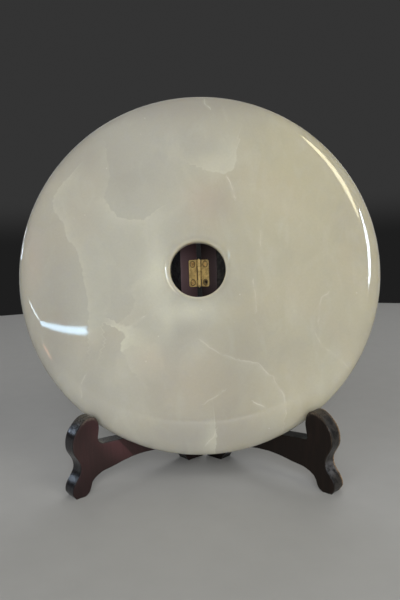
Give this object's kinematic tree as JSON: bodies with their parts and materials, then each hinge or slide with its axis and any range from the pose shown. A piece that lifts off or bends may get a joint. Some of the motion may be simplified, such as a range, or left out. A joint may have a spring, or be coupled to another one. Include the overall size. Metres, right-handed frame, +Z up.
{
  "type": "onyx disc on folding stand",
  "caption": "Polished onyx disc with a round hole through its middle, leaning on a folding stand of hinged wooden boards with hooked arms.",
  "frame": {"origin": "on the ground under the middle of the whole object's box", "axes": "+Z up, +X to the viewer's right, +Y to the back where the hinge is; the disc's front faces -Y and leans back"},
  "size_m": [0.3048, 0.0992, 0.3233],
  "materials": {
    "onyx": "polished, veined onyx",
    "left_wood": "dark red-brown, varnished, worn on the edges",
    "right_wood": "almost black brown, varnished, worn on the edges",
    "aged_brass": "tarnished satin",
    "screw_brass": "tarnished satin"
  },
  "bodies": {
    "disc_and_left_board": {"onyx_disc": "onyx", "left_board": "left_wood", "hinge_left_leaf": "aged_brass", "hinge_pin": "aged_brass", "screw_left_upper": "screw_brass", "screw_left_lower": "screw_brass"},
    "right_board_body": {"right_board": "right_wood", "hinge_right_leaf": "aged_brass", "screw_right_upper": "screw_brass"}
  },
  "joints": [
    {"name": "stand_fold", "type": "hinge", "parent": "disc_and_left_board", "child": "right_board_body", "pos_m": [0, 0.03835, 0.1702], "axis": [0, 0, 1], "range_deg": [0, 2]}
  ]
}
